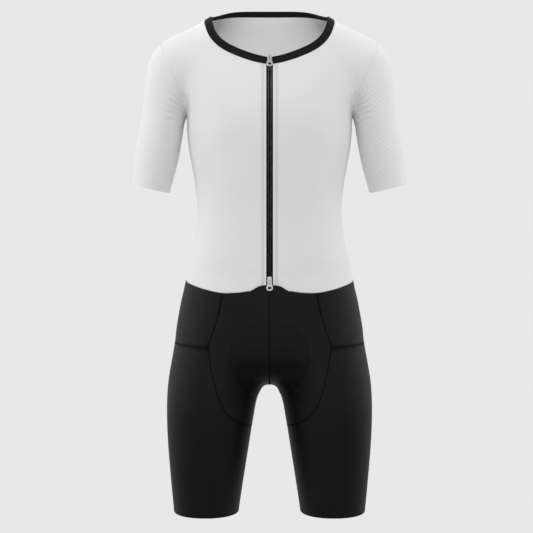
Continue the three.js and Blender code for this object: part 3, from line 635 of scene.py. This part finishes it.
def add_zip_tint(made, colour):
    """Darkens the cloth where the zip's tape lies under it, and brightens its folded edge."""
    side, _ = from_middle(made, object_place(made))
    ramp = made.node_tree.nodes.new("ShaderNodeValToRGB")
    ramp.color_ramp.interpolation = "EASE"
    while len(ramp.color_ramp.elements) < len(ZIP_TINT):
        ramp.color_ramp.elements.new(0.5)
    for element, (far, bright) in zip(ramp.color_ramp.elements, ZIP_TINT):
        element.position = far / ZIP_TINT_REACH
        element.color = (*(min(1, bright * c) for c in colour), 1)
    share = maths(made, "DIVIDE", side, ZIP_TINT_REACH * MM)
    made.node_tree.links.new(share, ramp.inputs["Fac"])
    feed(made, "Base Color", ramp.outputs["Color"])


def material_set():
    """The suit's finishes by name, made once."""
    if any(name not in bpy.data.materials for name in FINISHES):
        cloth = bpy.context.scene.suit_cloth
        trim = bpy.context.scene.suit_trim
        settings = {
            "white": cloth.white,
            "black": cloth.black,
            "binding": trim.binding,
            "metal": trim.metal,
            "thread": [WHITE_THREAD * c for c in cloth.white],
        }
        for name, row in FINISHES.items():
            colour = settings[row["colour"]] if isinstance(row["colour"], str) else row["colour"]
            made = material(name, colour, **row["surface"])
            if "knit" in row:
                add_knit(made, *row["knit"], pitch=cloth.rib_pitch if name == "ribbed_knit" else None)
        add_zip_tint(bpy.data.materials["front_knit"], cloth.white)
        add_shade(bpy.data.materials["black_knit"], cloth.black, FINISHES["black_knit"]["surface"]["shine"])
    return {name: bpy.data.materials[name] for name in FINISHES}


def dress(obj, finish, body="suit", replaces=()):
    """Gives a piece its material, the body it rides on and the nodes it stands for."""
    obj.data.materials.clear()
    obj.data.materials.append(material_set()[finish])
    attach(obj, body)
    if replaces:
        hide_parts(*replaces)
    return obj


def round_edges(obj, width, segments, angle):
    """Rounds a piece's edges that turn by more than an angle in degrees. The width is in millimetres."""
    edge = obj.modifiers.new("edge", "BEVEL")
    edge.width = width * MM
    edge.segments = segments
    edge.limit_method = "ANGLE"
    edge.angle_limit = math.radians(angle)
    return edge


class SUIT_OT_cloth(bpy.types.Operator):
    """Build every cloth panel as a thin shell with its creases"""

    bl_idname = "suit.cloth"
    bl_label = "Cloth panels"

    def execute(self, context):
        cloth = context.scene.suit_cloth
        mesh = welded_cloth(cloth.levels)
        refined(mesh)
        creased(mesh)
        whole = bmesh.new()
        whole.from_mesh(mesh)
        sew(whole)
        whole.to_mesh(mesh)
        whole.free()
        for index, (name, panel) in enumerate(PANELS.items()):
            obj = new_object(name + "_cloth", panel_skin(mesh, index))
            wall = obj.modifiers.new("wall", "SOLIDIFY")
            wall.thickness = cloth.thickness
            wall.offset = -1
            dress(obj, panel["finish"], replaces=[name])
        return {"FINISHED"}


def panel_skin(mesh, index):
    """One panel's share of the cloth, with crisp borders."""
    bm = bmesh.new()
    bm.from_mesh(mesh)
    others = [f for f in bm.faces if f.material_index != index]
    bmesh.ops.delete(bm, geom=others, context="FACES")
    for face in bm.faces:
        face.material_index = 0
    for edge in bm.edges:
        edge.smooth = not edge.is_boundary
    return bm


def sew(whole):
    """Draws the cloth in a little along each seam, and lays the seam's stitches over it."""
    whole.normal_update()
    stitches = {"white": bmesh.new(), "black": bmesh.new()}
    slots = [panel["slot"] for panel in PANELS.values()]
    shades = whole.verts.layers.float["shade"]
    drawn = {}
    for edge in whole.edges:
        if len(edge.link_faces) != 2 or len({f.material_index for f in edge.link_faces}) != 2:
            continue
        kinds = {slots[f.material_index] for f in edge.link_faces}
        colour = "white" if kinds == {"white_cloth"} else "black"
        middle = all(abs(v.co.x) < 1 * MM for v in edge.verts)
        for v in edge.verts:
            if kinds == {"black_cloth"}:
                v[shades] = min(v[shades], SEAM_SHADE["middle" if middle else "side"])
            drawn[v] = min(drawn.get(v, 1), SEAM_DRAW[colour])
        stitch(stitches[colour], edge, bpy.context.scene.suit_trim.thread)
    for v, depth in drawn.items():
        v.co -= v.normal * depth * MM
    for colour, bm in stitches.items():
        obj = new_object(f"{colour}_stitches", bm, smooth=False)
        dress(obj, f"{colour}_thread")


def stitch(target, edge, thread):
    """One slanting stitch across a seam's edge."""
    a, b = (v.co for v in edge.verts)
    out = (edge.verts[0].normal + edge.verts[1].normal).normalized()
    along = (b - a).normalized()
    across = out.cross(along).normalized() * STITCH_REACH * MM
    start = a + across
    end = b - across
    run = end - start
    line = run.normalized()
    side = out.cross(line).normalized()
    up = line.cross(side)
    turn = Matrix((line, side, up)).transposed().to_4x4()
    shape = Matrix.Diagonal((run.length, thread, thread, 1))
    bmesh.ops.create_cube(target, size=1, matrix=Matrix.Translation((start + end) / 2) @ turn @ shape)


class SUIT_OT_neckband(bpy.types.Operator):
    """Round the folded neck binding"""

    bl_idname = "suit.neckband"
    bl_label = "Neck binding"

    def execute(self, context):
        flat_turn, edge_turn = math.radians(50), math.radians(55)
        bm = merged_copy("neckband")
        bmesh.ops.join_triangles(
            bm, faces=bm.faces, angle_face_threshold=flat_turn, angle_shape_threshold=math.pi
        )
        sharp = [e for e in bm.edges if len(e.link_faces) == 2 and e.calc_face_angle(0) > edge_turn]
        bmesh.ops.bevel(
            bm, geom=sharp, offset=0.7 * MM, segments=3, profile=0.5, affect="EDGES", material=-1
        )
        obj = new_object("neck_binding", bm)
        smooth = obj.modifiers.new("smooth", "SUBSURF")
        smooth.levels = smooth.render_levels = 2
        dress(obj, "bound_edge", replaces=["neckband"])
        return {"FINISHED"}


class SUIT_OT_pad(bpy.types.Operator):
    """Round the seat pad inside the shorts"""

    bl_idname = "suit.pad"
    bl_label = "Seat pad"

    def execute(self, context):
        obj = new_object("seat_pad_fleece", merged_copy("seat_pad"))
        round_edges(obj, width=1, segments=3, angle=50)
        dress(obj, "pad_fleece", replaces=["seat_pad"])
        return {"FINISHED"}


def zip_line():
    """Points down the front of the zip's chain, from its top to its end."""
    off_middle, spacing = 0.3 * MM, 6 * MM
    points = [v.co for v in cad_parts["zip_chain"].data.vertices if abs(v.co.x) < off_middle]
    rows = {}
    for p in points:
        rows.setdefault(round(p.z, 3), []).append(p)
    fronts = sorted((min(row, key=lambda p: p.y).copy() for row in rows.values()), key=lambda p: -p.z)
    kept = [fronts[0]]
    for p in fronts[1:]:
        if kept[-1].z - p.z > spacing:
            kept.append(p)
    return kept


def tooth_mesh():
    tooth = bmesh.new()
    bmesh.ops.create_cube(tooth, size=1, matrix=Matrix.Diagonal((*(MM * side for side in TOOTH["size"]), 1)))
    bmesh.ops.bevel(
        tooth,
        geom=tooth.edges[:],
        offset=TOOTH["round"] * MM,
        segments=1,
        profile=0.5,
        affect="EDGES",
        material=-1,
    )
    mesh = bpy.data.meshes.new("tooth")
    tooth.to_mesh(mesh)
    tooth.free()
    return mesh


def zip_teeth(pitch):
    """Teeth down the zip's chain, on its left and right in turn, none under a slider."""
    line = zip_line()
    heights = np.array([p.z for p in line])[::-1]
    depths = np.array([p.y for p in line])[::-1]
    sliders = [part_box(f"{end}_slider") for end in ("upper", "lower")]
    clear = SLIDER_CLEAR * MM
    tooth = tooth_mesh()
    teeth = bmesh.new()
    z = heights[-1] - ZIP_END_CLEAR * MM
    side = 1
    while z > heights[0] + ZIP_END_CLEAR * MM:
        if not any(low.z - clear < z < high.z + clear for low, high in sliders):
            slope = np.interp(z + MM, heights, depths) - np.interp(z - MM, heights, depths)
            lean = Matrix.Rotation(-math.atan2(slope, 2 * MM), 4, "X")
            place = Matrix.Translation((side * TOOTH["side"] * MM, np.interp(z, heights, depths), z))
            start = len(teeth.verts)
            teeth.from_mesh(tooth)
            teeth.verts.ensure_lookup_table()
            bmesh.ops.transform(teeth, matrix=place @ lean, verts=teeth.verts[start:])
        side = -side
        z -= pitch / 2
    return teeth


class SUIT_OT_zip(bpy.types.Operator):
    """Lay the zip's teeth on its chain and finish its tapes, sliders and pull tabs"""

    bl_idname = "suit.zip"
    bl_label = "Zip"

    def execute(self, context):
        teeth = new_object("zip_teeth", zip_teeth(context.scene.suit_trim.tooth_pitch), smooth=False)
        dress(teeth, "moulded_teeth")
        for name in ("zip_chain", "zip_tape_left", "zip_tape_right"):
            obj = new_object(name + "_cloth", merged_copy(name), smooth=False)
            dress(obj, "woven_tape", replaces=[name])
        for end in ("upper", "lower"):
            for kind, body in (("slider", "suit"), ("pull", f"{end}_tab")):
                name = f"{end}_{kind}"
                obj = new_object(name + "_metal", merged_copy(name))
                round_edges(obj, width=0.2, segments=2, angle=35).harden_normals = True
                dress(obj, "plated_metal", body=body, replaces=[name])
        return {"FINISHED"}


def stand_lamp(lamp, place, target, power):
    """Puts a lamp at place, looking at target."""
    lamp.energy = power
    obj = link(bpy.data.objects.new(lamp.name, lamp))
    obj.location = place
    obj.rotation_euler = (Vector(target) - Vector(place)).to_track_quat("-Z", "Y").to_euler()


def stand_camera(stage):
    camera = bpy.data.cameras.new("camera")
    camera.sensor_width = 36
    camera.lens = camera.sensor_width * stage.distance / stage.field
    camera.clip_end = 50
    obj = link(bpy.data.objects.new("camera", camera))
    obj.location = (stage.side, -stage.distance, stage.height)
    obj.rotation_euler = (math.pi / 2, 0, 0)
    bpy.context.scene.camera = obj


def surround(grey):
    """A plain backdrop of one grey, whose glow on the suit has a strength of its own."""
    world = bpy.data.worlds.new("surround")
    bpy.context.scene.world = world
    world.use_nodes = True
    nodes, links = world.node_tree.nodes, world.node_tree.links
    seen = nodes["Background"]
    seen.inputs["Color"].default_value = (grey, grey, grey, 1)
    glow = nodes.new("ShaderNodeBackground")
    glow.inputs["Color"].default_value = (1, 1, 1, 1)
    glow.inputs["Strength"].default_value = GLOW
    path = nodes.new("ShaderNodeLightPath")
    mix = nodes.new("ShaderNodeMixShader")
    links.new(path.outputs["Is Camera Ray"], mix.inputs["Fac"])
    links.new(glow.outputs[0], mix.inputs[1])
    links.new(seen.outputs[0], mix.inputs[2])
    links.new(mix.outputs[0], nodes["World Output"].inputs["Surface"])


class SUIT_OT_stage(bpy.types.Operator):
    """Set the camera, the lights, the pale surround and the floor"""

    bl_idname = "suit.stage"
    bl_label = "Stage"

    def execute(self, context):
        scene = context.scene
        scene.view_settings.view_transform = "Standard"
        scene.view_settings.look = "None"
        stand_camera(scene.suit_stage)
        surround(scene.suit_stage.grey)

        for name, row in LAMPS.items():
            lamp = bpy.data.lights.new(name, "AREA")
            lamp.shape = "RECTANGLE"
            lamp.size, lamp.size_y = row["size"]
            stand_lamp(lamp, row["place"], LIT, row["power"])
        lamp = bpy.data.lights.new("collar", "SPOT")
        lamp.spot_size = COLLAR_LAMP["angle"]
        lamp.spot_blend = 1
        lamp.shadow_soft_size = 0.05
        stand_lamp(lamp, COLLAR_LAMP["place"], COLLAR_LAMP["aim"], COLLAR_LAMP["power"])

        bm = bmesh.new()
        bmesh.ops.create_circle(
            bm,
            cap_ends=True,
            radius=FLOOR["radius"],
            segments=FLOOR["segments"],
            matrix=Matrix.Translation((0, 0, FLOOR["height"])),
        )
        floor = new_object("floor", bm, smooth=False)
        floor.data.materials.append(material("pale_floor", [FLOOR["grey"]] * 3, 0.8))
        return {"FINISHED"}


class SUIT_PT_panel(bpy.types.Panel):
    """Buttons that build the suit, and its sizes and colours"""

    bl_idname = "SUIT_PT_panel"
    bl_label = "Triathlon suit"
    bl_space_type = "VIEW_3D"
    bl_region_type = "UI"
    bl_category = "Suit"

    def draw(self, context):
        for operator in OPERATORS:
            self.layout.operator(operator.bl_idname)
        for group in (context.scene.suit_cloth, context.scene.suit_trim, context.scene.suit_stage):
            for name in group.__annotations__:
                self.layout.prop(group, name)


OPERATORS = (SUIT_OT_cloth, SUIT_OT_pad, SUIT_OT_neckband, SUIT_OT_zip, SUIT_OT_stage)
GROUPS = {"suit_cloth": SuitCloth, "suit_trim": SuitTrim, "suit_stage": SuitStage}


def register():
    for group in GROUPS.values():
        bpy.utils.register_class(group)
    for cls in (*OPERATORS, SUIT_PT_panel):
        bpy.utils.register_class(cls)
    for name, group in GROUPS.items():
        setattr(bpy.types.Scene, name, bpy.props.PointerProperty(type=group))


def unregister():
    for name in GROUPS:
        delattr(bpy.types.Scene, name)
    for cls in (*OPERATORS, SUIT_PT_panel, *GROUPS.values()):
        bpy.utils.unregister_class(cls)


def main():
    register()
    bpy.ops.suit.cloth()
    bpy.ops.suit.pad()
    bpy.ops.suit.neckband()
    bpy.ops.suit.zip()
    bpy.ops.suit.stage()


if __name__ == "__main__":
    main()
